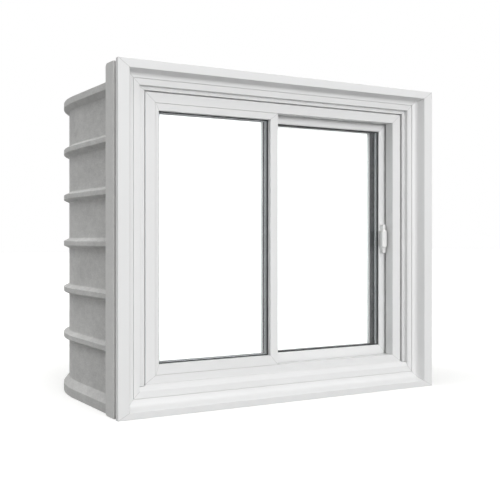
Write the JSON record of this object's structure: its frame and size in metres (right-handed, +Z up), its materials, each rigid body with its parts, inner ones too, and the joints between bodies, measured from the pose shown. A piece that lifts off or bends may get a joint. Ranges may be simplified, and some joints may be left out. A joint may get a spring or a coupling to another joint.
{
  "type": "horizontal sliding window with window well",
  "caption": "Horizontal sliding window: white stepped frame with a fixed pane, a sash that slides behind it with a pull latch, and a ribbed grey half-round window well at the back.",
  "frame": {"origin": "on the floor, at the middle of the footprint of window and well", "axes": "+X to the right along the window seen from the room, +Y from the room out through the window to the back of the well, +Z up"},
  "size_m": [0.914, 0.763, 0.8],
  "materials": {
    "white_pvc": "satin extruded PVC",
    "white_latch": "moulded, semi-gloss",
    "clear_glass": "clear float glass",
    "satin_glass": "satin-etched obscure glass",
    "black_gasket": "matt black rubber",
    "warm_edge_spacer": "mill grey",
    "glide_plastic": "moulded glide",
    "grey_collar": "moulded, fine grain",
    "grey_well": "moulded, mottled stone-like grain"
  },
  "bodies": {
    "window": {"casing_head": "white_pvc", "casing_jamb_left": "white_pvc", "casing_jamb_right": "white_pvc", "casing_sill": "white_pvc", "collar_head": "grey_collar", "collar_jamb_left": "grey_collar", "collar_jamb_right": "grey_collar", "collar_sill": "grey_collar", "fixed_bottom_rail": "white_pvc", "fixed_gasket": "black_gasket", "fixed_inner_glass": "clear_glass", "fixed_left_stile": "white_pvc", "fixed_outer_glass": "satin_glass", "fixed_spacer": "warm_edge_spacer", "fixed_top_rail": "white_pvc", "main_frame_head": "white_pvc", "main_frame_jamb_left": "white_pvc", "main_frame_jamb_right": "white_pvc", "main_frame_sill": "white_pvc", "meeting_stile": "white_pvc", "subframe_head": "white_pvc", "subframe_jamb_left": "white_pvc", "subframe_jamb_right": "white_pvc", "subframe_sill": "white_pvc", "well_back_1": "grey_well", "well_back_2": "grey_well", "well_back_3": "grey_well", "well_back_4": "grey_well", "well_back_5": "grey_well", "well_back_6": "grey_well", "well_back_7": "grey_well", "well_back_8": "grey_well", "well_left_wall": "grey_well", "well_right_wall": "grey_well"},
    "sash": {"latch_bar": "white_latch", "latch_grip": "white_latch", "sash_bottom_rail": "white_pvc", "sash_gasket": "black_gasket", "sash_inner_glass": "clear_glass", "sash_lock_stile": "white_pvc", "sash_outer_glass": "satin_glass", "sash_pull_stile": "white_pvc", "sash_runners": "glide_plastic", "sash_spacer": "warm_edge_spacer", "sash_top_rail": "white_pvc"}
  },
  "joints": [
    {"name": "sash_slide", "type": "slide", "parent": "window", "child": "sash", "axis": [-1, 0, 0], "range_m": [0, 0.329]}
  ]
}
